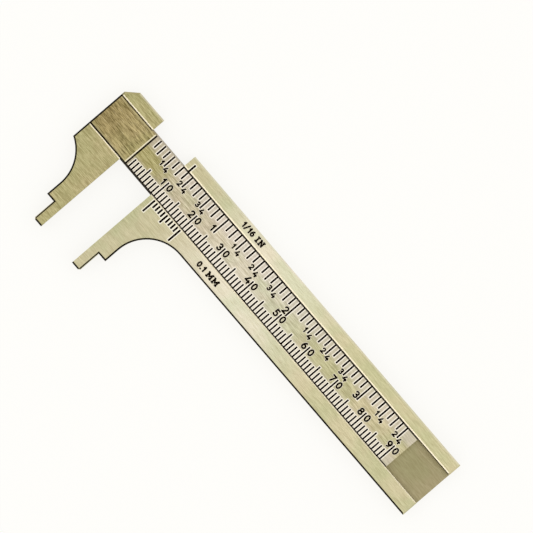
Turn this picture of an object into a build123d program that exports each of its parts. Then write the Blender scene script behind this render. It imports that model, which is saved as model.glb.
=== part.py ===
from build123d import *
import os

# A brass pocket vernier caliper that lies on its back, with its graduated face up.
# The beam and the head with its jaw slide in the dovetail channel of the body, which carries
# the other jaw and the vernier.
# +X runs along the beam, away from the head, +Y across it, to the inch side, and +Z out of the face.
# The origin is on the body's back, on the centre line of the beam, under the vernier's zero line.

# Driving dimensions, in millimetres

# Range and graduations
reading = 11.0  # what the caliper reads as it lies, which is also the gap between its jaws
full_reading = 80.0  # where the stop pin ends the travel
millimetre_pitch = 1.0  # from one line of the beam's millimetre scale to the next
millimetre_divisions = 90
sixteenth_pitch = 1.5875  # from one line of its inch scale to the next
inch_divisions = 56
inch_parts = 16  # divisions to an inch
vernier_parts = 10  # divisions of the vernier
vernier_covers = 9  # divisions of the main scale that the vernier's are as long as

# Plates
plate_thickness = 4.0
body_length = 94.0  # from the measuring face to the far end
head_length = 11.0
millimetre_rail_width = 4.3  # rail beside the beam, on the side of the jaws
inch_rail_width = 3.6
edge_break = 0.4  # chamfer round the outline
ear_chamfer = 2.6  # far corner of the head

# Jaws
face_to_zero = 1.65  # from a measuring face to the zero line on the same piece
jaw_reach = 20.0  # from the rail's edge to the tip
jaw_width = 4.8
jaw_arc_radius = 10.0
nib_width = 2.5  # half of the two nibs' width together, for inside measuring
nib_length = 6.0
nib_round = 0.7  # outer edges of a nib, rounded to touch the wall of a bore
nib_root = 1.0  # how far the nib's section runs into the jaw

# Beam and its channel
beam_width = 9.6  # across the face
beam_thickness = 2.0
dovetail_overhang = 0.4  # how much wider the beam is below, on each side
running_clearance = 0.05
lip_break = 0.25  # chamfer along the channel's lips, at the two joint lines
beam_break = 0.12  # chamfer along the beam's edges
scale_recess = 0.15  # how far the scale lies below the plain block at the beam's head end
block_slope = 0.3  # length of the slope from the block down to the scale

# Graduation lines
millimetre_line_width = 0.43
inch_line_width = 0.46
rail_line_width = 0.5
line_depth = 0.1
millimetre_line = 2.5
five_line = 3.5
ten_line = 4.7
sixteenth_line = 2.25
eighth_line = 2.8
quarter_line = 3.4
inch_line = 4.7
vernier_line = 1.6
vernier_five_line = 2.6
vernier_end_line = 3.8
index_line = 2.0
rail_line_margin = 0.4  # from the beam's edge to the lines on the rails

# Pins, pressed in from the back
pin_diameter = 1.5
head_pin_depth = 1.2  # into the beam
head_pin_offset = 2.4  # each pin from the centre line, one to each side
head_pin_inset = 2.8  # each pin from its end of the head
stop_pin_x = 2.2
stop_groove_depth = 0.8
stop_groove_clearance = 0.1

# Friction spring, a bowed leaf under the beam
leaf_start_x = 4.4
leaf_length = 7.2
leaf_width = 5.0
leaf_thickness = 0.3
leaf_clearance = 0.02  # crest to the beam
leaf_pocket_depth = 0.9
leaf_pocket_clearance = 0.2

# How far a cut runs past what it cuts
overrun = 1.0

# Worked out from these

face_z = plate_thickness
scale_z = face_z - scale_recess
beam_base_z = face_z - beam_thickness
channel_floor_z = beam_base_z - running_clearance
pocket_floor_z = channel_floor_z - leaf_pocket_depth

beam_edge_y = beam_width / 2
inch_edge_y = beam_edge_y + inch_rail_width
millimetre_edge_y = -beam_edge_y - millimetre_rail_width
plate_width = inch_edge_y - millimetre_edge_y
step_y = millimetre_edge_y - jaw_reach + nib_length

body_face_x = -face_to_zero
body_end_x = body_face_x + body_length
scale_zero_x = -reading
head_face_x = scale_zero_x - face_to_zero
head_end_x = head_face_x - head_length
beam_length = head_length + body_length
beam_end_x = head_end_x + beam_length


def flank_y(z):
    """Half the beam's width at a height: its flanks lean out from the face to the base."""
    return beam_edge_y + dovetail_overhang * (face_z - z) / beam_thickness


def both_sides(flank):
    """All points of a section that is alike on both sides, from those of its +Y side."""
    return flank + [(-y, z) for y, z in reversed(flank)]


def jaw_plate(face_x, side, length):
    """Outline of a plate and its jaw, down to the nib. It runs from its measuring face to side."""
    along = Align.MIN if side > 0 else Align.MAX
    with BuildSketch() as outline:
        with Locations((face_x, millimetre_edge_y)):
            Rectangle(length + jaw_arc_radius, plate_width, align=(along, Align.MIN))
            Rectangle(jaw_width, jaw_reach - nib_length, align=(along, Align.MAX))
        inner_corner = Vector(face_x + side * jaw_width, millimetre_edge_y)
        fillet(outline.vertices().sort_by_distance(inner_corner)[0], radius=jaw_arc_radius)
        with Locations((face_x, step_y)):
            Rectangle(length, jaw_reach - nib_length + plate_width, align=(along, Align.MIN),
                      mode=Mode.INTERSECT)
    return outline.sketch


def break_edges(part, face_x):
    """Chamfers a plate's outline on both faces, but leaves its measuring face sharp."""
    faces = part.faces().sort_by(Axis.Z)
    outline = faces[0].edges() + faces[-1].edges()
    chamfer([edge for edge in outline if abs(edge.center().X - face_x) > edge_break], edge_break)


def nib(part, face_x, side):
    """The thin end of a jaw: a section that is flat inside and rounded outside, with a broken tip."""
    along = Align.MIN if side > 0 else Align.MAX
    with BuildSketch(Plane.XZ.offset(-step_y - nib_root)) as section:
        with Locations((face_x, 0)):
            Rectangle(nib_width, plate_thickness, align=(along, Align.MIN))
        fillet(section.vertices().sort_by(Axis.X)[-2:] if side > 0
               else section.vertices().sort_by(Axis.X)[:2], radius=nib_round)
    extrude(section.sketch, amount=nib_length + nib_root)
    tip = part.faces().sort_by(Axis.Y)[0].edges()
    chamfer([edge for edge in tip if abs(edge.center().X - face_x) > edge_break], edge_break)


def channel(clearance):
    """Cuts the dovetail channel, with a small chamfer along each lip."""
    lip_z = face_z - lip_break
    flank = [
        (flank_y(beam_base_z) + clearance, beam_base_z - clearance),
        (flank_y(lip_z) + clearance, lip_z),
        (flank_y(lip_z) + clearance + lip_break + overrun, face_z + overrun),
    ]
    with BuildSketch(Plane.YZ.offset(head_end_x - overrun)) as section:
        with BuildLine():
            Polyline(*both_sides(flank), close=True)
        make_face()
    extrude(section.sketch, amount=beam_length + body_length, mode=Mode.SUBTRACT)


def line_across(x, start_y, end_y, width):
    """One graduation line in the sketch that is being drawn."""
    with Locations((x, (start_y + end_y) / 2)):
        Rectangle(width, abs(end_y - start_y))


def pin_hole(x, y, depth):
    """A blind hole from the back face."""
    with BuildSketch() as mouth:
        with Locations((x, y)):
            Circle(pin_diameter / 2)
    extrude(mouth.sketch, amount=depth, mode=Mode.SUBTRACT)


# Graduations, each a sketch that is cut as grooves and filled with black enamel

with BuildSketch(Plane.XY.offset(scale_z)) as millimetre_lines:
    outside_y = -beam_edge_y - overrun
    line_across(scale_zero_x, outside_y, -outside_y, millimetre_line_width)
    for i in range(1, millimetre_divisions + 1):
        length = ten_line if i % 10 == 0 else five_line if i % 5 == 0 else millimetre_line
        x = scale_zero_x + i * millimetre_pitch
        line_across(x, outside_y, -beam_edge_y + length, millimetre_line_width)

with BuildSketch(Plane.XY.offset(scale_z)) as inch_lines:
    outside_y = beam_edge_y + overrun
    for i in range(1, inch_divisions + 1):
        length = (inch_line if i % inch_parts == 0
                  else quarter_line if i % (inch_parts // 4) == 0
                  else eighth_line if i % (inch_parts // 8) == 0
                  else sixteenth_line)
        x = scale_zero_x + i * sixteenth_pitch
        line_across(x, outside_y, beam_edge_y - length, inch_line_width)

with BuildSketch(Plane.XY.offset(face_z)) as vernier_lines:
    vernier_y = -beam_edge_y - rail_line_margin
    for i in range(vernier_parts + 1):
        length = (vernier_end_line if i % vernier_parts == 0
                  else vernier_five_line if i % (vernier_parts // 2) == 0
                  else vernier_line)
        x = i * millimetre_pitch * vernier_covers / vernier_parts
        line_across(x, vernier_y, vernier_y - length, rail_line_width)

with BuildSketch(Plane.XY.offset(face_z)) as index_sketch:
    index_y = beam_edge_y + rail_line_margin
    line_across(0, index_y, index_y + index_line, rail_line_width)

# Body, with the fixed jaw, the dovetail channel and the vernier

body_outline = jaw_plate(body_face_x, 1, body_length)
with BuildPart() as body:
    extrude(body_outline, amount=plate_thickness)
    break_edges(body, body_face_x)
    nib(body, body_face_x, 1)
    channel(running_clearance)
    with BuildSketch(Plane.XY.offset(pocket_floor_z)):
        with Locations((leaf_start_x + leaf_length / 2, 0)):
            Rectangle(leaf_length + 2 * leaf_pocket_clearance, leaf_width + 2 * leaf_pocket_clearance)
    extrude(amount=leaf_pocket_depth + running_clearance, mode=Mode.SUBTRACT)
    pin_hole(stop_pin_x, 0, plate_thickness)
    extrude(vernier_lines.sketch, amount=-line_depth, mode=Mode.SUBTRACT)
    extrude(index_sketch.sketch, amount=-line_depth, mode=Mode.SUBTRACT)
body.part.label = "body"

# Head, with the sliding jaw and the seat for the beam's end

head_outline = jaw_plate(head_face_x, -1, head_length)
head_pins = [
    (head_end_x + head_pin_inset, head_pin_offset),
    (head_face_x - head_pin_inset, -head_pin_offset),
]
with BuildPart() as head:
    with BuildSketch():
        add(head_outline)
        ear_corner = Vector(head_end_x, inch_edge_y)
        chamfer(vertices().sort_by_distance(ear_corner)[0], ear_chamfer)
    extrude(amount=plate_thickness)
    break_edges(head, head_face_x)
    nib(head, head_face_x, -1)
    channel(0)
    for x, y in head_pins:
        pin_hole(x, y, plate_thickness)
head.part.label = "head"

# Beam, whose scale lies a little below the plain block at its head end

with BuildPart() as beam_blank:
    break_z = face_z - beam_break
    beam_flank = [
        (flank_y(beam_base_z), beam_base_z),
        (flank_y(break_z), break_z),
        (flank_y(break_z) - beam_break, face_z),
    ]
    with BuildSketch(Plane.YZ.offset(head_end_x)):
        with BuildLine():
            Polyline(*both_sides(beam_flank), close=True)
        make_face()
    extrude(amount=beam_length)
    chamfer(beam_blank.faces().sort_by(Axis.Z)[-1].edges().sort_by(Axis.X)[0], edge_break)
    block_end_x = scale_zero_x - millimetre_line_width / 2
    with BuildSketch(Plane.XZ):
        with BuildLine():
            Polyline(
                (block_end_x, scale_z),
                (block_end_x - block_slope, face_z),
                (block_end_x - block_slope, face_z + overrun),
                (beam_end_x + overrun, face_z + overrun),
                (beam_end_x + overrun, scale_z),
                close=True,
            )
        make_face()
    extrude(amount=beam_width, both=True, mode=Mode.SUBTRACT)

with BuildPart() as beam:
    add(beam_blank.part)
    extrude(millimetre_lines.sketch, amount=-line_depth, mode=Mode.SUBTRACT)
    extrude(inch_lines.sketch, amount=-line_depth, mode=Mode.SUBTRACT)
    with BuildSketch(Plane.XY.offset(beam_base_z)):
        with Locations((scale_zero_x + stop_pin_x + full_reading / 2, 0)):
            SlotCenterToCenter(full_reading, pin_diameter + 2 * stop_groove_clearance)
    extrude(amount=stop_groove_depth, mode=Mode.SUBTRACT)
    for x, y in head_pins:
        pin_hole(x, y, beam_base_z + head_pin_depth)
beam.part.label = "beam"

# Enamel in the grooves, flush with the metal round it

with BuildPart() as millimetre_scale_fill:
    extrude(millimetre_lines.sketch, amount=-line_depth)
    add(beam_blank.part, mode=Mode.INTERSECT)
millimetre_scale_fill.part.label = "millimetre_scale_fill"

with BuildPart() as inch_scale_fill:
    extrude(inch_lines.sketch, amount=-line_depth)
    add(beam_blank.part, mode=Mode.INTERSECT)
inch_scale_fill.part.label = "inch_scale_fill"

with BuildPart() as vernier_scale_fill:
    extrude(vernier_lines.sketch, amount=-line_depth)
vernier_scale_fill.part.label = "vernier_scale_fill"

with BuildPart() as inch_index_fill:
    extrude(index_sketch.sketch, amount=-line_depth)
inch_index_fill.part.label = "inch_index_fill"

# Pins

with BuildPart() as head_pin_rear:
    with BuildSketch():
        with Locations(head_pins[0]):
            Circle(pin_diameter / 2)
    extrude(amount=beam_base_z + head_pin_depth)
head_pin_rear.part.label = "head_pin_rear"

with BuildPart() as head_pin_front:
    with BuildSketch():
        with Locations(head_pins[1]):
            Circle(pin_diameter / 2)
    extrude(amount=beam_base_z + head_pin_depth)
head_pin_front.part.label = "head_pin_front"

with BuildPart() as stop_pin:
    with BuildSketch():
        with Locations((stop_pin_x, 0)):
            Circle(pin_diameter / 2)
    extrude(amount=beam_base_z + stop_groove_depth - stop_groove_clearance)
stop_pin.part.label = "stop_pin"

# Friction spring, bowed from the pocket's floor up to the beam

with BuildPart() as friction_spring:
    with BuildSketch(Plane.XZ):
        with BuildLine():
            crest_z = beam_base_z - leaf_clearance - leaf_thickness
            ThreePointArc(
                (leaf_start_x, pocket_floor_z),
                (leaf_start_x + leaf_length / 2, crest_z),
                (leaf_start_x + leaf_length, pocket_floor_z),
            )
            offset(amount=leaf_thickness, side=Side.LEFT)
        make_face()
    extrude(amount=leaf_width / 2, both=True)
friction_spring.part.label = "friction_spring"

os.makedirs("parts", exist_ok=True)
export_step(body.part, "parts/body.step")
export_step(head.part, "parts/head.step")
export_step(beam.part, "parts/beam.step")
export_step(millimetre_scale_fill.part, "parts/millimetre_scale_fill.step")
export_step(inch_scale_fill.part, "parts/inch_scale_fill.step")
export_step(vernier_scale_fill.part, "parts/vernier_scale_fill.step")
export_step(inch_index_fill.part, "parts/inch_index_fill.step")
export_step(head_pin_rear.part, "parts/head_pin_rear.step")
export_step(head_pin_front.part, "parts/head_pin_front.step")
export_step(stop_pin.part, "parts/stop_pin.step")
export_step(friction_spring.part, "parts/friction_spring.step")
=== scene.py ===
"""Brass pocket vernier caliper: the finish of its metal, the enamelled numbers, and the studio."""

import math
from types import SimpleNamespace

import bmesh
import bpy
from mathutils import Matrix, Vector


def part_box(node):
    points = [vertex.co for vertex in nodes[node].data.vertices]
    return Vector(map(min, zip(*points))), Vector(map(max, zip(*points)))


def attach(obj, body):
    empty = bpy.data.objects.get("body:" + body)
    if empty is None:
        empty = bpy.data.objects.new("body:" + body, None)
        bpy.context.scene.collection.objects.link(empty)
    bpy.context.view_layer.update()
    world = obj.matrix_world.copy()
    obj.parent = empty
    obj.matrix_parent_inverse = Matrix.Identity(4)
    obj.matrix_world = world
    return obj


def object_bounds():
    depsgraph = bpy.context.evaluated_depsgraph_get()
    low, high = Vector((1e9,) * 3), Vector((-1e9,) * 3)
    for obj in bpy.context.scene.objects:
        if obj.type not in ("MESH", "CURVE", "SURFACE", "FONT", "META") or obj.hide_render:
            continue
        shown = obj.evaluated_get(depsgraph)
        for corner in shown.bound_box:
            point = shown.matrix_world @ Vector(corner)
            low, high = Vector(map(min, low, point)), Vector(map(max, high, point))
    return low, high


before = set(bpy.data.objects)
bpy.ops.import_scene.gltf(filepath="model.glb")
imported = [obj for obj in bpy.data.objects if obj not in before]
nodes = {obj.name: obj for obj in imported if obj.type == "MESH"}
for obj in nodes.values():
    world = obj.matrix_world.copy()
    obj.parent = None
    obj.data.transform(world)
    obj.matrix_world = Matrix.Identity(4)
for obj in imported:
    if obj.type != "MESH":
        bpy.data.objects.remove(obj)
cad_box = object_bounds()

# Lengths are in metres, and these turn a real size in millimetres or micrometres into one
MM = 0.001
UM = 0.000001

# Scales
MILLIMETRES = 90
SIXTEENTHS = 56
TEN = 10 * MM
INCH = 25.4 * MM
VERNIER_PITCH = 0.9 * MM
VERNIER_LENGTH = 10 * VERNIER_PITCH

# Places and widths that the frame gives
millimetre_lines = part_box("millimetre_scale_fill")
inch_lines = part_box("inch_scale_fill")
vernier_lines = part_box("vernier_scale_fill")
index_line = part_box("inch_index_fill")
head_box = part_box("head")
body_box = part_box("body")
MILLIMETRE_LINE_WIDTH = millimetre_lines[1].x - millimetre_lines[0].x - MILLIMETRES * MM
INCH_LINE_WIDTH = inch_lines[1].x - inch_lines[0].x - (SIXTEENTHS - 1) * INCH / 16
RAIL_LINE_WIDTH = index_line[1].x - index_line[0].x
SCALE_FACE = millimetre_lines[1].z
RAIL_FACE = body_box[1].z
SCALE_ZERO = millimetre_lines[0].x + MILLIMETRE_LINE_WIDTH / 2
VERNIER_ZERO = vernier_lines[0].x + RAIL_LINE_WIDTH / 2
VERNIER_TOP = vernier_lines[1].y
INDEX_FOOT = index_line[0].y
HEAD_JAW_FACE = head_box[1].x
BODY_JAW_FACE = body_box[0].x
BODY_FAR_END = body_box[1].x

# Sizes of the beam and its channel, as on the drawing
BEAM_EDGE = 4.8 * MM
BLOCK_SLOPE = 0.3 * MM
SLOPE_FOOT = SCALE_ZERO - MILLIMETRE_LINE_WIDTH / 2
SLOPE_TOP = SLOPE_FOOT - BLOCK_SLOPE
DOVETAIL = 0.4 * MM
GAP = 0.05 * MM

# The kinds of line on each scale: the distance between them, and their length
MILLIMETRE_RULINGS = ((1 * MM, 2.5 * MM), (5 * MM, 3.5 * MM), (TEN, 4.7 * MM))
INCH_RULINGS = ((INCH / 16, 2.25 * MM), (INCH / 8, 2.8 * MM), (INCH / 4, 3.4 * MM), (INCH, 4.7 * MM))
INDEX_RULINGS = ((INCH, 2 * MM),)
VERNIER_RULINGS = ((VERNIER_PITCH, 1.6 * MM), (5 * VERNIER_PITCH, 2.6 * MM), (VERNIER_LENGTH, 3.8 * MM))

# Numbers: heights and places are those of the cutter's path, without the width of its cut
DIGIT_HEIGHT = 1.5 * MM
DIGIT_STROKE = 0.48 * MM
TEN_FOOT = 3.22 * MM
TEN_SPREAD = 1.1 * MM
INCH_DIGIT_FOOT = 4.7 * MM
INCH_DIGIT_SPREAD = 0.98 * MM
CROWDED = 2.4 * MM
CROWDED_LIFT = 0.35 * MM
FRACTION_HEIGHT = 1.14 * MM
FRACTION_STROKE = 0.42 * MM
NUMERATOR_FOOT = 3.66 * MM
NUMERATOR_SPREAD = 0.95 * MM
FOUR_FOOT = 4.08 * MM
FOUR_SPREAD = 0.92 * MM

# Unit signs on the two rails: their place along the rails, and their middles' distance from the beam
SIGN_HEIGHT = 1.18 * MM
SIGN_STROKE = 0.45 * MM
SIGN_PLACE = 20.8 * MM
MILLIMETRE_SIGN_MIDDLE = 2.16 * MM
INCH_SIGN_MIDDLE = 2.07 * MM

# The enamel and the burrs of the cuts. A line's burr fades out over the two reaches, from the
# line's side and from its end.
ENAMEL_RISE = 14 * UM
BURR_RISE = 5 * UM
BURR_WIDTH = 0.1 * MM
BURR_SIDE_REACH = 3 * BURR_WIDTH
BURR_END_REACH = 2 * BURR_WIDTH
SIGN_BURR_WIDTH = 0.05 * MM
CUT_ROUNDING = 3

# Brush marks. A mask comes in over a span, from its first value to its second, here and below.
# Three gauges of mark: how much each counts for, how long it is and how wide. A belt's grit cuts
# marks of about 0.03 mm, too fine to show here, so they are drawn as the bundles they form.
BRUSH_GAUGES = ((0.3, 5 * MM, 0.42 * MM), (0.4, 2.4 * MM, 0.2 * MM), (0.3, 1 * MM, 0.1 * MM))
TONE_SPAN = (0.37, 0.63)
BURR_TONE_SPAN = (0.38, 0.62)
ROUGH_SPAN = (0.35, 0.65)
GRIME_AND_SHADE_SPAN = (0.4, 0.7)
MARK_ROUGHNESS = 0.07
MARK_DEPTH = 5 * UM
MARK_RELIEF = 0.3
# Brown and pale streaks that stand out among the marks: what is added to the piece's seed, length,
# width, span, how much of the streak shows, and its colour
STREAKS = ((31, 3.5 * MM, 0.22 * MM, (0.6, 0.74), 0.25, "86703f"),
           (57, 2.5 * MM, 0.16 * MM, (0.62, 0.74), 0.35, "f2e6c2"))
# Tarnish in soft clouds, greenish here and pinkish there
CLOUD_SIZE = 8 * MM
CLOUD_SPAN = (0.36, 0.64)
GREENISH, PINKISH = "f1f5e8", "fffbf6"
# Each piece's own start in the noise, so that no two have the same marks
BODY_SEED, HEAD_SEED, BEAM_SEED, BURR_SEED, PIN_SEED = 0.0, 11.0, 23.0, 71.0, 9.0

# How rough each surface is, where fresh burrs are as rough as the filed pins. The specular level
# shows on the dirt and painted shade alone, because bare metal reflects by its colour.
BRUSHED_ROUGHNESS = 0.42
LIP_ROUGHNESS = 0.8
DIRT_AND_SHADE_ROUGHNESS = 0.9
FILED_ROUGHNESS = 0.4
ROLLED_ROUGHNESS = 0.3
DIRT_AND_SHADE_SPECULAR = 0.1

# How a surface lies: its normal's share along an axis. Walls and broken edges have less than
# WALL_FACING along Z. A face up or down has more than HALF_FACING there, and an end along X.
WALL_FACING = 0.8
HALF_FACING = 0.5
WALL_SPAN = (0.3, 0.5)
BROKEN_SPAN = (0.45, 0.6)
FLAT_SPAN = (0.85, 0.95)
JAW_SIDE_SPAN = (0.15, 0.45)
INCH_SIDE_SPAN = (0.4, 0.6)
MEASURING_FACE_SPAN = (0.55, 0.68)
SLOPE_SPAN = (0.8, 0.86)
LEVEL_SPAN = (0.93, 0.98)
BLOCK_END_SPAN = (-0.6, -0.4)

# Tones of the brushed metal: (dark, light), and then (start, end, dark, light) for each one that
# takes over as X goes from start to end. The paler tones further along X are partly a painted sheen,
# light growing along the caliper; the body's palest stretch, from 24 to 34 mm, is a painted sheen.
BODY_TONES_AND_SHEEN = (("bab595", "cecaab"),
              (3 * MM, 24 * MM, "d9d3bf", "ebe6d6"),
              (34 * MM, 58 * MM, "c1ba99", "d7d1b1"))
HEAD_TONES = (("9d936a", "cdc39b"),)
BEAM_TONES_AND_SHEEN = (("5d5029", "bcad7e"),
              (SCALE_ZERO - 9 * MM, SCALE_ZERO - 3 * MM, "675b35", "cec090"),
              (SLOPE_TOP, SLOPE_FOOT, "8d8151", "cabe92"),
              (SCALE_ZERO + 4.5 * MM, SCALE_ZERO + 12 * MM, "a89f86", "e2d8c2"),
              (SCALE_ZERO + 16 * MM, SCALE_ZERO + 34 * MM, "bcb6a1", "e7e2d1"),
              (SCALE_ZERO + 44 * MM, SCALE_ZERO + 66 * MM, "b0a886", "d8d0b0"))
UNDERSIDE_TONE_PLACE = SCALE_ZERO + 8 * MM
BODY_INCH_SIDE_TINT = "fffffc"
HEAD_INCH_SIDE_TINT = "f4f8f0"

# The plates. Each has two lips along the channel, one on the jaw side and one on the inch side: how
# far from the beam's edge the gap's dirt and painted shade end, how far the lip ends, and how strong
# its painted highlight is.
BODY_LIPS = ((0.13 * MM, 0.38 * MM, 0.8), (0.28 * MM, 0.6 * MM, 1.0))
HEAD_LIPS = ((0.18 * MM, 0.42 * MM, 1.0), (0.14 * MM, 0.45 * MM, 1.0))
# A face reaches this far down at its broken edges, and its masks come in over the fade
FACE_DEPTH = 0.5 * MM
FACE_FADE = 0.1 * MM
FAR_END_WIDTH = 0.45 * MM
# How much of the painted edge shade is left on the inch side, and how far from the beam it is down to that
INCH_SIDE_EDGE_SHADE = 0.35
INCH_SIDE_FADE_WIDTH = 0.4 * MM
# Painted shade on the sawn and milled walls: how strong, and its colour
WALL_SHADE = 0.55
WALL_SHADE_COLOUR = "8d7c4c"
# How strong the painted highlight is on the broken edges that face the inch side
INCH_EDGE_SHINE = 0.33
# The colour of the painted highlights on the channel's lips and on the inch side's edges
PAINTED_HIGHLIGHT_COLOUR = "fff8e4"
PLATE_BURR_COLOUR = "fffaea"
# The film of old oil and painted shade on the channel's floor starts at its foot, above the plate's back
FILM_FOOT = 1 * MM
FILM_AND_SHADE_STRENGTH = 0.55
FILM_AND_SHADE_COLOUR = "6f6038"

# The beam: its scale's greyer margins, the bands along the block's joints, the burrs, which start
# past the zero line, and the painted highlight on the slope at the end of the block
MARGIN_SPAN = (1.4 * MM, 2.8 * MM)
MARGIN_STRENGTH = 0.42
MARGIN_COLOUR = "cfc4c2"
BAND_INSET = 0.4 * MM
BAND_SPAN = (0.05 * MM, 0.22 * MM)
BAND_STRENGTH = 0.35
BAND_COLOUR = "d8cda2"
PAST_ZERO = 0.55 * MM
BEAM_BURR_COLOUR = "fff8ea"
SLOPE_HIGHLIGHT_COLOUR = "e8dfc4"
# Painted shade on the beam's edges: how far in it reaches from the flank, and how strong it is
JAW_SIDE_FLANK_SHADE_WIDTH = 4 * GAP
INCH_SIDE_FLANK_SHADE_WIDTH = 3 * GAP
JAW_SIDE_FLANK_SHADE = 0.97
INCH_SIDE_FLANK_SHADE = 0.86
BETWEEN_JAWS_FLANK_SHADE = 0.1
# Colours of the dirt and the painted shade alike: dark, and where the marks thin them
GRIME_AND_SHADE_DARK, GRIME_AND_SHADE_THIN = "0a0702", "261e0a"

# Enamel, burrs of the numbers, pins and spring
ENAMEL_WEAR = 0.4 * MM
ENAMEL_WEAR_SPAN = (0.3, 0.7)
ENAMEL_ROUGHNESS = (0.5, 0.65)
ENAMEL_SPECULAR = 0.05
ENAMEL_DARK, ENAMEL_WORN, ENAMEL_GLINT = "060301", "130c05", "a87038"
BURR_DARK, BURR_LIGHT = "e6dcbe", "f8f1df"
PIN_BRASS, PIN_STEEL, SPRING_BRONZE = "b0a06c", "9a9a98", "a8744a"
RIM_WIDTH = 0.09 * MM
RIM_DIRT = 0.8

# Studio. The tilt is in degrees, and the lens and its sensor are in millimetres.
PIXELS = 533
PIXELS_PER_MM = 4.332
BEAM_TILT = 49.35
VIEW_CENTRE = Vector((28.32 * MM, 4.37 * MM, SCALE_FACE))
LENS = 800
SENSOR = 36
CLIP_END = 20
WHITE = "fffefb"
LIT_BOARD = "f6f6f4"
BOARD_SIZE = 3.0
# The board's face is this far above the caliper's back, so that the two never fight for one place
BOARD_RISE = 10 * UM
SHADOW_SHARE = 0.15
# Soft boxes: name, place, what each is aimed at, its width, and its power in watts
SOFT_BOXES = (("key", (0.6, 0.5, 1.35), (0.04, 0, 0), 1.4, 1.9),
              ("fill", (-0.9, -0.75, 1.1), (0.02, 0, 0), 1.0, 0.6))


def linear(hex_colour):
    """sRGB hex, such as 'c8b070', as the linear colour that nodes take."""
    channels = [int(hex_colour[i:i + 2], 16) / 255 for i in (0, 2, 4)]
    return [c / 12.92 if c <= 0.04045 else ((c + 0.055) / 1.055) ** 2.4 for c in channels] + [1.0]


def node(tree, kind, inputs=(), out=0, **settings):
    """Adds a node with its settings, sets or links its inputs, and gives one of its outputs. Inputs
    are given in order, or in a dict by number or name: a Mix takes its factor at 0, and what it
    mixes at 2 and 3 for numbers, 4 and 5 for places, and 6 and 7 for colours."""
    made = tree.nodes.new("ShaderNode" + kind)
    for name, value in settings.items():
        setattr(made, name, value)
    pairs = inputs.items() if isinstance(inputs, dict) else enumerate(inputs)
    for key, value in pairs:
        if isinstance(value, bpy.types.NodeSocket):
            tree.links.new(value, made.inputs[key])
        else:
            made.inputs[key].default_value = value
    return made if out is None else made.outputs[out]


def blank_material(name):
    """A material with nothing in it, and its node tree."""
    material = bpy.data.materials.new(name)
    material.use_nodes = True
    material.node_tree.nodes.clear()
    return material, material.node_tree


def spot(tree):
    """What a material goes by at a point of its piece: where the point lies along the beam, across
    it and in height, how far from the beam's middle line, and which way the surface faces there."""
    place = node(tree, "TexCoord", out="Object")
    normal = node(tree, "NewGeometry", out="Normal")
    along, across, height = node(tree, "SeparateXYZ", (place,), None).outputs
    facing_x, facing_y, facing_z = node(tree, "SeparateXYZ", (normal,), None).outputs
    return SimpleNamespace(
        place=place, along=along, across=across, height=height,
        from_middle=node(tree, "Math", (across,), operation="ABSOLUTE"),
        facing_x=facing_x, facing_y=facing_y, facing_z=facing_z,
        upright=node(tree, "Math", (facing_z,), operation="ABSOLUTE"),
        endwise=node(tree, "Math", (facing_x,), operation="ABSOLUTE"))


def overlap(tree, mask, *others):
    """The stretch that some masks share, as strong as all of them multiplied."""
    for other in others:
        mask = node(tree, "Math", (mask, other), operation="MULTIPLY")
    return mask


def by_side(tree, at, jaw_side, inch_side):
    """One value on the jaw side of the beam's middle line and another on the inch side."""
    return node(tree, "MapRange", (at.across, -GAP, GAP, jaw_side, inch_side))


def layered(tree, metal, layers):
    """The metal with colours laid over it, each a (mask, colour), one after the other."""
    for mask, colour in layers:
        metal = node(tree, "Mix", {0: mask, 6: metal, 7: linear(colour)}, 2, data_type="RGBA")
    return metal


def along_grain(tree, at):
    """Where a point lies along the grain and across it. Faces are brushed along X, and walls and
    broken edges are filed along their own length."""
    length = node(tree, "Math", (at.along, at.across), operation="ADD")
    filed = node(tree, "CombineXYZ", (length, at.height))
    wall = node(tree, "Math", (at.upright, WALL_FACING), operation="LESS_THAN")
    return node(tree, "Mix", {0: wall, 4: at.place, 5: filed}, 1, data_type="VECTOR")


def drawn_noise(tree, place, seed, length, width, **settings):
    """Noise whose grains are drawn out along X, to a length and a width."""
    drawn_out = node(tree, "Mapping", {"Vector": place, "Location": (seed, seed, 0),
                                       "Scale": (1 / length, 1 / width, 1 / width)})
    return node(tree, "TexNoise", {"Vector": drawn_out, "Scale": 1.0, **settings})


def brush_marks(tree, place, seed):
    """Streaks along the grain, as an abrasive belt leaves them, from 0 to 1 about a middle of 0.5."""
    marks = 0.0
    for share, length, width in BRUSH_GAUGES:
        noise = drawn_noise(tree, place, seed, length, width, Detail=2.0, Roughness=0.6)
        marks = node(tree, "Math", (noise, share, marks), operation="MULTIPLY_ADD")
    return marks


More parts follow.
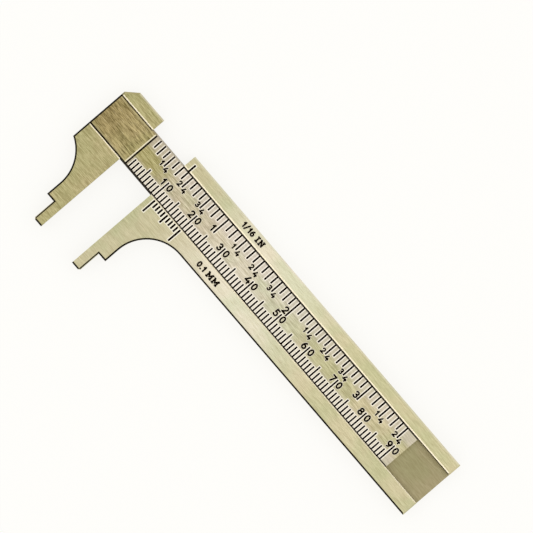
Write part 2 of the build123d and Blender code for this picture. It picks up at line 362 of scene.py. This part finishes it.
def brushed_colour(tree, place, along, marks, tones, seed):
    """The brushed metal's colour, from its tones along the beam, which are partly a painted sheen, with
    single streaks and tarnish.
    """
    (dark, light), *later = tones
    dark, light = linear(dark), linear(light)
    for start, end, next_dark, next_light in later:
        reached = node(tree, "MapRange", (along, start, end), interpolation_type="SMOOTHSTEP")
        dark = node(tree, "Mix", {0: reached, 6: dark, 7: linear(next_dark)}, 2, data_type="RGBA")
        light = node(tree, "Mix", {0: reached, 6: light, 7: linear(next_light)}, 2, data_type="RGBA")
    tone = node(tree, "MapRange", (marks, *TONE_SPAN), interpolation_type="SMOOTHSTEP")
    metal = node(tree, "Mix", {0: tone, 6: dark, 7: light}, 2, data_type="RGBA")

    for shift, length, width, span, strength, colour in STREAKS:
        noise = drawn_noise(tree, place, seed + shift, length, width, Detail=1.0)
        streak = node(tree, "MapRange", (noise, *span), interpolation_type="SMOOTHSTEP")
        metal = layered(tree, metal, [(overlap(tree, streak, strength), colour)])

    cloud = node(tree, "TexNoise", {"Vector": place, "Scale": 1 / CLOUD_SIZE, "Detail": 2.0})
    patch = node(tree, "MapRange", (cloud, *CLOUD_SPAN), interpolation_type="SMOOTHSTEP")
    tint = node(tree, "Mix", {0: patch, 6: linear(GREENISH), 7: linear(PINKISH)}, 2, data_type="RGBA")
    return node(tree, "Mix", {0: 1.0, 6: metal, 7: tint}, 2, data_type="RGBA", blend_type="MULTIPLY")


def beside_lines(tree, along, from_edge, first, last, width, rulings):
    """A mask that is 1 right beside the lines of a scale, where the cutter turned up a bright burr."""
    beside = 0.0
    past_first = node(tree, "Math", (along, first), operation="SUBTRACT")
    for pitch, length in rulings:
        off_line = node(tree, "Math", (past_first, pitch / 2), operation="PINGPONG")
        near = node(tree, "MapRange", (off_line, (width + BURR_WIDTH) / 2, width / 2 + BURR_SIDE_REACH,
                                       1.0, 0.0))
        within = node(tree, "MapRange", (from_edge, length + BURR_WIDTH / 2, length + BURR_END_REACH,
                                         1.0, 0.0))
        beside = node(tree, "Math", (beside, overlap(tree, near, within)), operation="MAXIMUM")
    on_scale = node(tree, "Math", (along, (first + last) / 2, (last - first) / 2 + width),
                    operation="COMPARE")
    past_edge = node(tree, "Math", (from_edge, -BURR_WIDTH), operation="GREATER_THAN")
    return overlap(tree, beside, on_scale, past_edge)


def finish_metal(tree, colour, marks, roughness, dirt_and_shade=None, matt=None):
    """The shader of brushed metal: the marks show in its roughness and, faintly, in its relief.
    Where there is dirt, such as old oil, or painted shade, it is dull and dark. Where it is matt, it
    scatters light."""
    rough = node(tree, "MapRange", (marks, *ROUGH_SPAN, roughness + MARK_ROUGHNESS,
                                    roughness - MARK_ROUGHNESS))
    relief = node(tree, "Bump", {"Strength": MARK_RELIEF, "Distance": MARK_DEPTH, "Height": marks})
    metallic = 1.0
    if matt:
        rough = node(tree, "Mix", {0: matt, 2: rough, 3: LIP_ROUGHNESS})
    if dirt_and_shade:
        thin = node(tree, "MapRange", (marks, *GRIME_AND_SHADE_SPAN), interpolation_type="SMOOTHSTEP")
        grime_and_shade = node(tree, "Mix", {0: thin, 6: linear(GRIME_AND_SHADE_DARK), 7: linear(GRIME_AND_SHADE_THIN)}, 2,
                     data_type="RGBA")
        colour = node(tree, "Mix", {0: dirt_and_shade, 6: colour, 7: grime_and_shade}, 2, data_type="RGBA")
        rough = node(tree, "Mix", {0: dirt_and_shade, 2: rough, 3: DIRT_AND_SHADE_ROUGHNESS})
        metallic = node(tree, "Math", (1.0, dirt_and_shade), operation="SUBTRACT")
    shader = node(tree, "BsdfPrincipled", {"Base Color": colour, "Metallic": metallic, "Roughness": rough,
                                           "Specular IOR Level": DIRT_AND_SHADE_SPECULAR, "Normal": relief})
    node(tree, "OutputMaterial", {"Surface": shader}, None)


def vernier_burr(tree, at, on_face):
    """The bright burr beside the vernier's lines and the index line."""
    down = node(tree, "Math", (VERNIER_TOP, at.across), operation="SUBTRACT")
    up = node(tree, "Math", (at.across, INDEX_FOOT), operation="SUBTRACT")
    vernier = beside_lines(tree, at.along, down, VERNIER_ZERO, VERNIER_ZERO + VERNIER_LENGTH,
                           RAIL_LINE_WIDTH, VERNIER_RULINGS)
    index = beside_lines(tree, at.along, up, VERNIER_ZERO, VERNIER_ZERO, RAIL_LINE_WIDTH, INDEX_RULINGS)
    burr = node(tree, "Math", (vernier, index), operation="MAXIMUM")
    return overlap(tree, burr, on_face)


def broken_edges(tree, at):
    """The broken edges of a plate's face."""
    leaning_up = node(tree, "MapRange", (at.facing_z, *BROKEN_SPAN))
    off_flat = node(tree, "MapRange", (at.facing_z, *FLAT_SPAN, 1.0, 0.0))
    return overlap(tree, leaning_up, off_flat)


def tarnished_edges(tree, at, edges, measuring_side):
    """The broken edges that carry painted shade, dark as if shadowed. They stay bright on the inch side,
    which faces the light, at the measuring face, which looks to measuring_side along X, and at the
    body's far end."""
    off_inch_side = node(tree, "MapRange", (at.facing_y, *JAW_SIDE_SPAN, 1.0, 0.0))
    measuring = node(tree, "Math", (at.facing_x, measuring_side), operation="MULTIPLY")
    off_measuring = node(tree, "MapRange", (measuring, *MEASURING_FACE_SPAN, 1.0, 0.0))
    at_far_end = node(tree, "Math", (at.along, BODY_FAR_END - FAR_END_WIDTH), operation="GREATER_THAN")
    far_edge = overlap(tree, at_far_end, at.facing_x)
    off_far_edge = node(tree, "Math", (far_edge, HALF_FACING), operation="LESS_THAN")
    inch_side_fade = node(tree, "MapRange", (at.across, BEAM_EDGE, BEAM_EDGE + INCH_SIDE_FADE_WIDTH, 1.0, INCH_SIDE_EDGE_SHADE))
    return overlap(tree, edges, off_inch_side, off_measuring, off_far_edge, inch_side_fade)


def channel_lips(tree, at, on_face, beside_beam, lips):
    """The gap next to the beam, dark with dirt and painted shade, then the channel's lip, and how strong
    its painted highlight is.
    """
    dark_gap_end, lip_end, shine = [by_side(tree, at, jaw_lip, inch_lip) for jaw_lip, inch_lip in zip(*lips)]
    past_beam = node(tree, "Math", (at.from_middle, BEAM_EDGE), operation="SUBTRACT")
    in_gap = node(tree, "Math", (past_beam, dark_gap_end), operation="LESS_THAN")
    on_lip = node(tree, "Math", (past_beam, lip_end), operation="LESS_THAN")
    leaning_up = node(tree, "MapRange", (at.facing_z, *WALL_SPAN))
    gap = overlap(tree, in_gap, on_face, beside_beam)
    lip = overlap(tree, on_lip, on_face, leaning_up, beside_beam)
    return gap, lip, overlap(tree, lip, shine)


def index_over_lip(tree, at, on_face):
    """The index line where it runs out over the inch side's lip, filled there with dirt."""
    lip_middle = (BEAM_EDGE + INDEX_FOOT) / 2
    on_line = node(tree, "Math", (at.along, VERNIER_ZERO, RAIL_LINE_WIDTH / 2), operation="COMPARE")
    over_lip = node(tree, "Math", (at.across, lip_middle, INDEX_FOOT - lip_middle), operation="COMPARE")
    return overlap(tree, on_line, over_lip, on_face)


def channel_film(tree, at):
    """Old oil and painted shade on the channel's floor, a recess."""
    in_channel = node(tree, "Math", (at.from_middle, BEAM_EDGE + DOVETAIL), operation="LESS_THAN")
    above_back = node(tree, "Math", (at.height, FILM_FOOT), operation="GREATER_THAN")
    under_face = node(tree, "Math", (at.height, RAIL_FACE - FACE_DEPTH), operation="LESS_THAN")
    return overlap(tree, in_channel, above_back, under_face, FILM_AND_SHADE_STRENGTH)


def plate_brass(name, tones, inch_side_tint, lips, seed, measuring_side, with_vernier=False):
    """Brass plate, milled to shape and brushed lengthwise, gone a little dull: soft streaks of one
    brass colour, with a faint tint on the inch side. The broken edges of its face carry painted shade,
    or a painted highlight on the inch side. The channel's lips are matt with a painted highlight, with
    dirt and painted shade in the gap next to the beam, and the sawn and milled walls are a little
    deeper in colour, which is painted shade. The channel's floor has old oil and painted shade."""
    material, tree = blank_material(name)
    at = spot(tree)
    grain = along_grain(tree, at)
    marks = brush_marks(tree, grain, seed)
    metal = brushed_colour(tree, grain, at.along, marks, tones, seed)
    on_inch_side = node(tree, "MapRange", (at.across, BEAM_EDGE, BEAM_EDGE + GAP))
    metal = node(tree, "Mix", {0: on_inch_side, 6: metal, 7: linear(inch_side_tint)}, 2,
                 data_type="RGBA", blend_type="MULTIPLY")

    on_face = node(tree, "MapRange", (at.height, RAIL_FACE - FACE_DEPTH, RAIL_FACE - FACE_DEPTH + FACE_FADE))
    beside_beam = node(tree, "MapRange", (at.endwise, *WALL_SPAN, 1.0, 0.0))
    # Painted shade on the walls
    wall = node(tree, "MapRange", (at.upright, *WALL_SPAN, WALL_SHADE, 0.0))
    edges = broken_edges(tree, at)
    # Dirt and painted shade in the gap beside the beam, and a painted highlight on the lip
    gap, lip, lip_highlight = channel_lips(tree, at, on_face, beside_beam, lips)
    off_lip = node(tree, "Math", (1.0, lip), operation="SUBTRACT")
    # Painted shade on the broken edges, but not on the lips
    edge_shade = overlap(tree, tarnished_edges(tree, at, edges, measuring_side), off_lip)
    # A painted highlight on the broken edges that face the inch side
    to_inch_side = node(tree, "MapRange", (at.facing_y, *INCH_SIDE_SPAN, 0.0, INCH_EDGE_SHINE))
    edge_highlight = overlap(tree, to_inch_side, edges, beside_beam)

    # From the metal up: painted shade on the walls, painted highlights on the lips and on the inch side's
    # edges, and old oil with painted shade on the channel's floor
    layers = [(wall, WALL_SHADE_COLOUR), (lip_highlight, PAINTED_HIGHLIGHT_COLOUR), (edge_highlight, PAINTED_HIGHLIGHT_COLOUR),
              (channel_film(tree, at), FILM_AND_SHADE_COLOUR)]
    # Painted shade on the broken edges, and dirt with painted shade in the gap
    dirt_and_shade = node(tree, "Math", (edge_shade, gap), operation="MAXIMUM")
    if with_vernier:
        layers.insert(0, (vernier_burr(tree, at, on_face), PLATE_BURR_COLOUR))
        dirt_and_shade = node(tree, "Math", (dirt_and_shade, index_over_lip(tree, at, on_face)), operation="MAXIMUM")
    finish_metal(tree, layered(tree, metal, layers), marks, BRUSHED_ROUGHNESS, dirt_and_shade, lip)
    return material


def scale_margins(tree, at, tone_place):
    """The scale's two long margins, which the channel rubs greyer than its middle."""
    rubbed = node(tree, "MapRange", (at.from_middle, *MARGIN_SPAN, 0.0, MARGIN_STRENGTH))
    on_scale = node(tree, "Math", (tone_place, SLOPE_FOOT), operation="GREATER_THAN")
    return overlap(tree, rubbed, on_scale)


def block_bands(tree, at, tone_place, face_up):
    """A rubbed band on the block near each of its joints."""
    off_band = node(tree, "Math", (at.from_middle, BEAM_EDGE - BAND_INSET), operation="SUBTRACT")
    off_band = node(tree, "Math", (off_band,), operation="ABSOLUTE")
    band = node(tree, "MapRange", (off_band, *BAND_SPAN, BAND_STRENGTH, 0.0))
    on_block = node(tree, "Math", (tone_place, SLOPE_TOP), operation="LESS_THAN")
    return overlap(tree, band, on_block, face_up)


def scale_burr(tree, at, face_up):
    """The bright burr beside the lines of the two scales, apart from the block's side of zero."""
    from_jaw_side = node(tree, "Math", (at.across, BEAM_EDGE), operation="ADD")
    from_inch_side = node(tree, "Math", (BEAM_EDGE, at.across), operation="SUBTRACT")
    millimetres = beside_lines(tree, at.along, from_jaw_side, SCALE_ZERO, SCALE_ZERO + MILLIMETRES * MM,
                               MILLIMETRE_LINE_WIDTH, MILLIMETRE_RULINGS)
    inches = beside_lines(tree, at.along, from_inch_side, SCALE_ZERO, SCALE_ZERO + SIXTEENTHS * INCH / 16,
                          INCH_LINE_WIDTH, INCH_RULINGS)
    burr = node(tree, "Math", (millimetres, inches), operation="MAXIMUM")
    past_zero = node(tree, "Math", (at.along, SCALE_ZERO + PAST_ZERO), operation="GREATER_THAN")
    return overlap(tree, burr, past_zero, face_up)


def block_slope(tree, at):
    """The slope at the end of the block, bright with a painted highlight."""
    leaning_up = node(tree, "MapRange", (at.facing_z, *SLOPE_SPAN))
    off_level = node(tree, "MapRange", (at.facing_z, *LEVEL_SPAN, 1.0, 0.0))
    return overlap(tree, leaning_up, off_level)


def flank_oil(tree, at):
    """Painted shade on the beam's flanks and top edges: dark on the jaw side, less so on the inch side,
    and faint on the inch side's stretch between the jaws, which the plates don't shade."""
    edge_start = by_side(tree, at, BEAM_EDGE - JAW_SIDE_FLANK_SHADE_WIDTH, BEAM_EDGE - INCH_SIDE_FLANK_SHADE_WIDTH)
    past_start = node(tree, "Math", (at.from_middle, edge_start), operation="SUBTRACT")
    edge = node(tree, "MapRange", (past_start, 0.0, GAP))
    between_jaws = node(tree, "Math", (at.along, (HEAD_JAW_FACE + BODY_JAW_FACE) / 2,
                                       (BODY_JAW_FACE - HEAD_JAW_FACE) / 2), operation="COMPARE")
    inch_side_flank_shade = node(tree, "MapRange", {0: between_jaws, 3: INCH_SIDE_FLANK_SHADE, 4: BETWEEN_JAWS_FLANK_SHADE})
    shade_strength = by_side(tree, at, JAW_SIDE_FLANK_SHADE, inch_side_flank_shade)
    off_underside = node(tree, "Math", (at.facing_z, -HALF_FACING), operation="GREATER_THAN")
    off_end_walls = node(tree, "Math", (at.endwise, HALF_FACING), operation="LESS_THAN")
    return overlap(tree, edge, shade_strength, off_underside, off_end_walls)


def block_end(tree, at):
    """The broken edge at the block's end, dark with painted shade."""
    facing_out = node(tree, "MapRange", (at.facing_x, *BLOCK_END_SPAN, 1.0, 0.0))
    leaning_up = node(tree, "MapRange", (at.facing_z, *WALL_SPAN))
    return overlap(tree, facing_out, leaning_up)


def beam_brass(name, seed):
    """Drawn brass bar: a coarsely brushed block, then the scale in a finer satin that gets paler
    towards its far end, partly a painted sheen. Each cut has a bright burr beside it, the slope at
    the block's end has a painted highlight, and the flank at the jaws and the block's end edge are
    dark with painted shade."""
    material, tree = blank_material(name)
    at = spot(tree)
    grain = along_grain(tree, at)
    marks = brush_marks(tree, grain, seed)
    face_up = node(tree, "Math", (at.facing_z, HALF_FACING), operation="GREATER_THAN")
    face_down = node(tree, "Math", (at.facing_z, -HALF_FACING), operation="LESS_THAN")

    # Each point has the tone of its own place along the beam, but the underside has the scale's
    at_least = node(tree, "MapRange", {0: face_down, 3: cad_box[0].x, 4: UNDERSIDE_TONE_PLACE})
    tone_place = node(tree, "Math", (at.along, at_least), operation="MAXIMUM")
    metal = brushed_colour(tree, grain, tone_place, marks, BEAM_TONES_AND_SHEEN, seed)

    # From the metal up; the last layer is the painted highlight on the block's slope
    layers = ((scale_margins(tree, at, tone_place), MARGIN_COLOUR),
              (block_bands(tree, at, tone_place, face_up), BAND_COLOUR),
              (scale_burr(tree, at, face_up), BEAM_BURR_COLOUR),
              (block_slope(tree, at), SLOPE_HIGHLIGHT_COLOUR))
    # Painted shade on the flanks, their top edges and the block's end edge
    dirt_and_shade = node(tree, "Math", (flank_oil(tree, at), block_end(tree, at)), operation="MAXIMUM")
    finish_metal(tree, layered(tree, metal, layers), marks, BRUSHED_ROUGHNESS, dirt_and_shade)
    return material


def black_enamel():
    """Black enamel, rubbed into the cuts and wiped off flush: brown-black, with hardly any gloss."""
    material, tree = blank_material("black_enamel_wiped_flush")
    place = node(tree, "TexCoord", out="Object")
    wear = node(tree, "TexNoise", {"Vector": place, "Scale": 1 / ENAMEL_WEAR, "Detail": 2.0})
    colour = node(tree, "Mix", {0: wear, 6: linear(ENAMEL_DARK), 7: linear(ENAMEL_WORN)}, 2,
                  data_type="RGBA")
    rough = node(tree, "MapRange", (wear, *ENAMEL_WEAR_SPAN, *ENAMEL_ROUGHNESS))
    shader = node(tree, "BsdfPrincipled", {"Base Color": colour, "Roughness": rough,
                                           "Specular IOR Level": ENAMEL_SPECULAR,
                                           "Specular Tint": linear(ENAMEL_GLINT)})
    node(tree, "OutputMaterial", {"Surface": shader}, None)
    return material


def burr_brass():
    """Brass that the cutter turned up round each number: a thin lip, freshly cut, so it is pale and
    bright."""
    material, tree = blank_material("brass_burr_cut")
    place = node(tree, "TexCoord", out="Object")
    marks = brush_marks(tree, place, BURR_SEED)
    tone = node(tree, "MapRange", (marks, *BURR_TONE_SPAN))
    metal = node(tree, "Mix", {0: tone, 6: linear(BURR_DARK), 7: linear(BURR_LIGHT)}, 2, data_type="RGBA")
    finish_metal(tree, metal, marks, FILED_ROUGHNESS)
    return material


def plain_metal(name, colour, roughness, pin=None):
    """A pin that was filed flush, or rolled strip: one colour with fine marks along X. A pin has
    dark oil round its rim, where it meets the plate."""
    material, tree = blank_material(name)
    place = node(tree, "TexCoord", out="Object")
    marks = brush_marks(tree, place, PIN_SEED)
    metal = node(tree, "Mix", {0: marks, 6: linear(colour), 7: linear("ffffff")}, 2,
                 data_type="RGBA", blend_type="SOFT_LIGHT")
    rim = None
    if pin:
        low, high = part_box(pin)
        radius = (high.x - low.x) / 2
        centre = ((low.x + high.x) / 2, (low.y + high.y) / 2, 0)
        flat = node(tree, "Mapping", {"Vector": place, "Scale": (1, 1, 0)})
        out = node(tree, "VectorMath", (flat, centre), "Value", operation="DISTANCE")
        rim = node(tree, "MapRange", (out, radius - RIM_WIDTH, radius - RIM_WIDTH / 2, 0.0, RIM_DIRT))
    finish_metal(tree, metal, marks, roughness, rim)
    return material


def dress(name, material):
    """Gives a CAD node its finish."""
    mesh = nodes[name].data
    mesh.materials.clear()
    mesh.materials.append(material)


def bow(cx, cy, rx, ry, start, end, steps=10):
    """Points of an arc, in shares of a sign's height, from one angle to another in degrees."""
    angles = [math.radians(start + (end - start) * i / steps) for i in range(steps + 1)]
    return [(cx + rx * math.cos(a), cy + ry * math.sin(a)) for a in angles]


# Each sign as the cutter's strokes, in shares of its height, and how wide it is
SIGN_SHARES = {
    "0": ([bow(0.29, 0.5, 0.29, 0.5, 0, 360, 24)], 0.58),
    "1": ([[(0.0, 0.74), (0.26, 1.0), (0.26, 0.0)]], 0.3),
    "2": ([bow(0.29, 0.71, 0.28, 0.29, 165, -35) + [(0.02, 0.0), (0.6, 0.0)]], 0.6),
    "3": ([bow(0.28, 0.755, 0.26, 0.245, 150, -90), bow(0.28, 0.26, 0.3, 0.26, 90, -150)], 0.58),
    "4": ([[(0.42, 1.0), (0.0, 0.28), (0.76, 0.28)], [(0.58, 0.46), (0.58, -0.05)]], 0.76),
    "5": ([[(0.56, 1.0), (0.12, 1.0), (0.06, 0.56)] + bow(0.28, 0.31, 0.31, 0.31, 125, -150)], 0.6),
    "6": ([bow(0.55, 0.3, 0.54, 0.7, 105, 180), bow(0.3, 0.3, 0.29, 0.3, 180, 540, 20)], 0.6),
    "7": ([[(0.0, 1.0), (0.6, 1.0), (0.2, 0.0)]], 0.6),
    "8": ([bow(0.3, 0.75, 0.25, 0.25, -90, 270, 20), bow(0.3, 0.26, 0.3, 0.26, 90, 450, 20)], 0.6),
    "9": ([bow(0.3, 0.7, 0.29, 0.3, 0, 360, 20), bow(0.05, 0.7, 0.54, 0.7, 0, -75)], 0.6),
    "I": ([[(0.22, 0.0), (0.22, 1.0)], [(0.0, 0.0), (0.44, 0.0)], [(0.0, 1.0), (0.44, 1.0)]], 0.44),
    "N": ([[(0.14, 0.0), (0.14, 1.0), (0.84, 0.0), (0.84, 1.0)],
           [(0.0, 0.0), (0.3, 0.0)], [(0.0, 1.0), (0.14, 1.0)], [(0.68, 1.0), (1.0, 1.0)]], 1.0),
    "/": ([[(0.0, -0.1), (0.5, 1.1)]], 0.5),
    ".": ([[(0.0, 0.0), (0.06, 0.0)]], 0.06),
    " ": ([], 0.1),
    "M": ([[(0.14, 0.0), (0.14, 1.0), (0.62, 0.3), (1.1, 1.0), (1.1, 0.0)],
           [(0.0, 0.0), (0.3, 0.0)], [(0.94, 0.0), (1.24, 0.0)],
           [(0.0, 1.0), (0.14, 1.0)], [(1.1, 1.0), (1.24, 1.0)]], 1.24),
}
SIGN_GAP_SHARE = 0.42
# The rounded end that a turning cutter leaves, from its tip inwards, as shares of the stroke's half
# width: how far out a point lies, and how thick the stroke is there
ROUND_END_SHARES = [(1.0, 0.05), (0.8, 0.6), (0.45, 0.9), (0.0, 1.0)]
# A stroke whose ends are nearer to each other than this share of its width is a closed one
CLOSED_SHARE = 0.05
SHARP_TURN = math.radians(40)


def between_corners(points):
    """A sign's stroke as the cuts between its sharp corners, where the cutter is set down anew."""
    cuts = [[points[0], points[1]]]
    for before, corner, after in zip(points, points[1:], points[2:]):
        turn = (Vector(corner) - Vector(before)).angle(Vector(after) - Vector(corner))
        if turn > SHARP_TURN:
            cuts.append([corner])
        cuts[-1].append(after)
    return cuts


def round_end(end, before, width):
    """The points of a stroke's round end, from its tip inwards, each with the stroke's thickness."""
    outwards = (end - before).normalized() * width / 2
    return [(end + outwards * out, thickness) for out, thickness in ROUND_END_SHARES]


def cutter_stroke(curve, points, width):
    """One cut of a round-nosed cutter, as a spline that is thin at its very ends."""
    places = [Vector(point) for point in points]
    closed = (places[0] - places[-1]).length < width * CLOSED_SHARE
    if closed:
        path = [(place, 1.0) for place in places[:-1]]
    else:
        path = [*round_end(places[0], places[1], width),
                *((place, 1.0) for place in places[1:-1]),
                *reversed(round_end(places[-1], places[-2], width))]
    spline = curve.splines.new("POLY")
    spline.points.add(len(path) - 1)
    spline.use_cyclic_u = closed
    for point, (place, thickness) in zip(spline.points, path):
        point.co = (place.x, place.y, 0, 1)
        point.radius = thickness


def cut_signs(name, signs, stroke, rise):
    """The strokes of some signs as one low mesh, at height 0. A sign is (character, left, foot, height)."""
    curve = bpy.data.curves.new(name, "CURVE")
    curve.dimensions = "3D"
    curve.bevel_depth = stroke / 2
    curve.bevel_resolution = CUT_ROUNDING
    curve.use_fill_caps = True
    for character, left, foot, height in signs:
        for points in SIGN_SHARES[character][0]:
            for cut in between_corners(points):
                cutter_stroke(curve, [(left + x * height, foot + y * height) for x, y in cut], stroke)
    path = bpy.data.objects.new(name, curve)
    bpy.context.scene.collection.objects.link(path)
    bpy.context.view_layer.update()
    mesh = bpy.data.meshes.new_from_object(path.evaluated_get(bpy.context.evaluated_depsgraph_get()))
    bpy.data.objects.remove(path)
    mesh.transform(Matrix.Diagonal((1, 1, 2 * rise / stroke, 1)))
    return mesh


def engraved_signs(name, signs, stroke, burr_width, face, body, finishes):
    """Numbers or letters filled with enamel, with the cutter's bright burr round them, in the two
    finishes."""
    shape = bmesh.new()
    shape.from_mesh(cut_signs(name + "_enamel", signs, stroke, ENAMEL_RISE))
    enamel_faces = len(shape.faces)
    shape.from_mesh(cut_signs(name + "_burr", signs, stroke + 2 * burr_width, BURR_RISE))
    shape.faces.ensure_lookup_table()
    for burr_face in shape.faces[enamel_faces:]:
        burr_face.material_index = 1
    bmesh.ops.translate(shape, verts=shape.verts, vec=(0, 0, face))
    mesh = bpy.data.meshes.new(name)
    shape.to_mesh(mesh)
    shape.free()
    for finish in finishes:
        mesh.materials.append(finish)
    piece = bpy.data.objects.new(name, mesh)
    bpy.context.scene.collection.objects.link(piece)
    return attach(piece, body)


def centred(text, middle, foot, height):
    """The signs of a word or number, set out on both sides of a middle."""
    widths = [SIGN_SHARES[c][1] * height for c in text]
    left = middle - (sum(widths) + SIGN_GAP_SHARE * height * (len(text) - 1)) / 2
    signs = []
    for character, width in zip(text, widths):
        signs.append((character, left, foot, height))
        left += width + SIGN_GAP_SHARE * height
    return signs


def ten_numbers():
    """Tens of millimetres, one digit to each side of the long line."""
    signs = []
    for i in range(1, MILLIMETRES // 10 + 1):
        line = SCALE_ZERO + i * TEN
        foot = -BEAM_EDGE + TEN_FOOT
        signs += centred(str(i), line - TEN_SPREAD, foot, DIGIT_HEIGHT)
        signs += centred("0", line + TEN_SPREAD, foot, DIGIT_HEIGHT)
    return signs


def inch_numbers():
    """Whole inches, each beside its line. One that would touch a ten's digit stands a bit higher."""
    signs = []
    for i in range(1, SIXTEENTHS // 16 + 1):
        along = i * INCH - INCH_DIGIT_SPREAD
        foot = BEAM_EDGE - INCH_DIGIT_FOOT
        off_ten = abs((along + TEN / 2) % TEN - TEN / 2)
        if off_ten < CROWDED:
            foot += CROWDED_LIFT
        signs += centred(str(i), SCALE_ZERO + along, foot, DIGIT_HEIGHT)
    return signs


def quarter_numbers():
    """Quarters of an inch, with the line as the fraction's bar."""
    signs = []
    for i in range(1, SIXTEENTHS // 4 + 1):
        if i % 4:
            line = SCALE_ZERO + i * INCH / 4
            signs += centred(str(i % 4), line - NUMERATOR_SPREAD, BEAM_EDGE - NUMERATOR_FOOT, FRACTION_HEIGHT)
            signs += centred("4", line + FOUR_SPREAD, BEAM_EDGE - FOUR_FOOT, FRACTION_HEIGHT)
    return signs


def soft_lamp(name, place, aim, size, power):
    """A square soft box that points at the caliper."""
    lamp = bpy.data.lights.new(name, "AREA")
    lamp.shape = "SQUARE"
    lamp.size = size
    lamp.energy = power
    made = bpy.data.objects.new(name, lamp)
    made.location = place
    made.rotation_euler = (Vector(aim) - Vector(place)).to_track_quat("-Z", "Y").to_euler()
    bpy.context.scene.collection.objects.link(made)


def background_seen(tree):
    """1 where the camera sees the background itself, in metal or through glass, and otherwise 0."""
    path = node(tree, "LightPath", out=None)
    seen = 0.0
    for ray in ("Is Camera Ray", "Is Glossy Ray", "Is Transmission Ray"):
        seen = node(tree, "Math", (seen, path.outputs[ray]), operation="MAXIMUM")
    return seen


def white_board():
    """The board under the caliper. It looks white, and keeps a share of the caliper's soft shadow.
    From below it isn't there, so that the caliper's back can be looked at."""
    material, tree = blank_material("white_board_painted")
    lit = node(tree, "BsdfDiffuse", {"Color": linear(LIT_BOARD)})
    white = node(tree, "Emission", {"Color": linear(WHITE), "Strength": 1.0})
    shared = node(tree, "MixShader", (SHADOW_SHARE, white, lit))
    surface = node(tree, "MixShader", (background_seen(tree), lit, shared))
    from_below = node(tree, "NewGeometry", out="Backfacing")
    surface = node(tree, "MixShader", (from_below, surface, node(tree, "BsdfTransparent")))
    node(tree, "OutputMaterial", {"Surface": surface}, None)

    mesh = bpy.data.meshes.new("board")
    shape = bmesh.new()
    bmesh.ops.create_grid(shape, x_segments=1, y_segments=1, size=BOARD_SIZE / 2)
    bmesh.ops.translate(shape, verts=shape.verts, vec=(0, 0, BOARD_RISE))
    shape.to_mesh(mesh)
    shape.free()
    mesh.materials.append(material)
    board = bpy.data.objects.new("board", mesh)
    bpy.context.scene.collection.objects.link(board)


def studio():
    """A white room that lights the caliper evenly and shows in its metal, and two large soft boxes
    that add little, so that pale metal keeps its colour from every side."""
    world = bpy.data.worlds.new("white_room")
    bpy.context.scene.world = world
    world.use_nodes = True
    tree = world.node_tree
    tree.nodes.clear()
    room = node(tree, "Background", {"Color": linear(WHITE), "Strength": 1.0})
    node(tree, "OutputWorld", {"Surface": room}, None)
    for soft_box in SOFT_BOXES:
        soft_lamp(*soft_box)
    white_board()


def camera():
    """Straight above, through a long lens, turned so that the beam runs down to the right."""
    lens = bpy.data.cameras.new("camera")
    lens.lens = LENS
    lens.sensor_width = SENSOR
    lens.clip_end = CLIP_END
    made = bpy.data.objects.new("camera", lens)
    distance = PIXELS / PIXELS_PER_MM * MM * LENS / SENSOR
    made.location = VIEW_CENTRE + Vector((0, 0, distance))
    made.rotation_euler = (0, 0, math.radians(BEAM_TILT))
    bpy.context.scene.collection.objects.link(made)
    bpy.context.scene.camera = made


camera()
studio()

# Finishes of the CAD nodes
dress("body", plate_brass("brass_plate_brushed_body", BODY_TONES_AND_SHEEN, BODY_INCH_SIDE_TINT, BODY_LIPS, BODY_SEED,
                          measuring_side=-1, with_vernier=True))
dress("head", plate_brass("brass_plate_brushed_head", HEAD_TONES, HEAD_INCH_SIDE_TINT, HEAD_LIPS, HEAD_SEED,
                          measuring_side=1))
dress("beam", beam_brass("brass_bar_brushed_beam", BEAM_SEED))
enamel = black_enamel()
for fill in ("millimetre_scale_fill", "inch_scale_fill", "vernier_scale_fill", "inch_index_fill"):
    dress(fill, enamel)
for pin, finish_name, colour in (("head_pin_rear", "brass_pin_filed_rear", PIN_BRASS),
                                 ("head_pin_front", "brass_pin_filed_front", PIN_BRASS),
                                 ("stop_pin", "steel_pin_filed", PIN_STEEL)):
    dress(pin, plain_metal(finish_name, colour, FILED_ROUGHNESS, pin))
dress("friction_spring", plain_metal("bronze_strip_rolled", SPRING_BRONZE, ROLLED_ROUGHNESS))

# Numbers on the beam's scale, and unit signs on the body's rails
finishes = (enamel, burr_brass())
for name, signs, stroke in (("millimetre_numbers", ten_numbers(), DIGIT_STROKE),
                            ("inch_numbers", inch_numbers(), DIGIT_STROKE),
                            ("quarter_numbers", quarter_numbers(), FRACTION_STROKE)):
    engraved_signs(name, signs, stroke, BURR_WIDTH, SCALE_FACE, "slide", finishes)
for name, text, middle in (("millimetre_sign", "0.1 MM", -BEAM_EDGE - MILLIMETRE_SIGN_MIDDLE),
                           ("inch_sign", "1/16 IN", BEAM_EDGE + INCH_SIGN_MIDDLE)):
    signs = centred(text, VERNIER_ZERO + SIGN_PLACE, middle - SIGN_HEIGHT / 2, SIGN_HEIGHT)
    engraved_signs(name, signs, SIGN_STROKE, SIGN_BURR_WIDTH, RAIL_FACE, "body", finishes)

bpy.context.scene.view_settings.view_transform = "Standard"
